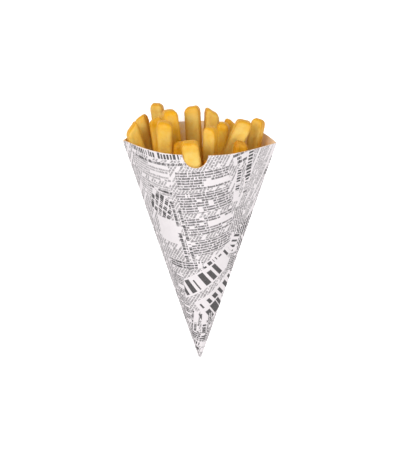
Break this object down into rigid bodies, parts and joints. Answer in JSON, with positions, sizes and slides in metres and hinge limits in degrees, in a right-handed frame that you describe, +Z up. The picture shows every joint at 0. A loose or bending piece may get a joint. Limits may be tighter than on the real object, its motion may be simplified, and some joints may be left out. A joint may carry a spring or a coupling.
{
  "type": "paper cone of french fries",
  "caption": "Open paper cone folded from one sheet, with a thumb notch in its front rim, filled with straight-cut french fries and lying on its back panel.",
  "frame": {"origin": "on the surface it lies on, below the middle of the whole part", "axes": "+Y from the cone's point to its open mouth, +Z up, which is the front panel with the thumb notch, +X to the right when it is looked at from the front with the mouth up"},
  "size_m": [0.11, 0.1912, 0.0869],
  "materials": {
    "paper": "uncoated sheet printed grey on the outside only, plain inside",
    "fry": "fried potato: golden crust with browner edges and a slight sheen of oil"
  },
  "bodies": {
    "root": {"paper_cone": "paper", "fry_01": "fry", "fry_02": "fry", "fry_03": "fry", "fry_04": "fry", "fry_05": "fry", "fry_06": "fry", "fry_07": "fry", "fry_08": "fry", "fry_09": "fry", "fry_10": "fry", "fry_11": "fry", "fry_12": "fry", "fry_13": "fry", "fry_14": "fry", "fry_15": "fry", "fry_16": "fry", "fry_17": "fry", "fry_18": "fry", "fry_19": "fry", "fry_20": "fry", "fry_21": "fry", "fry_22": "fry", "fry_23": "fry", "fry_24": "fry", "fry_25": "fry", "fry_26": "fry", "fry_27": "fry", "fry_28": "fry", "fry_29": "fry"}
  },
  "joints": []
}
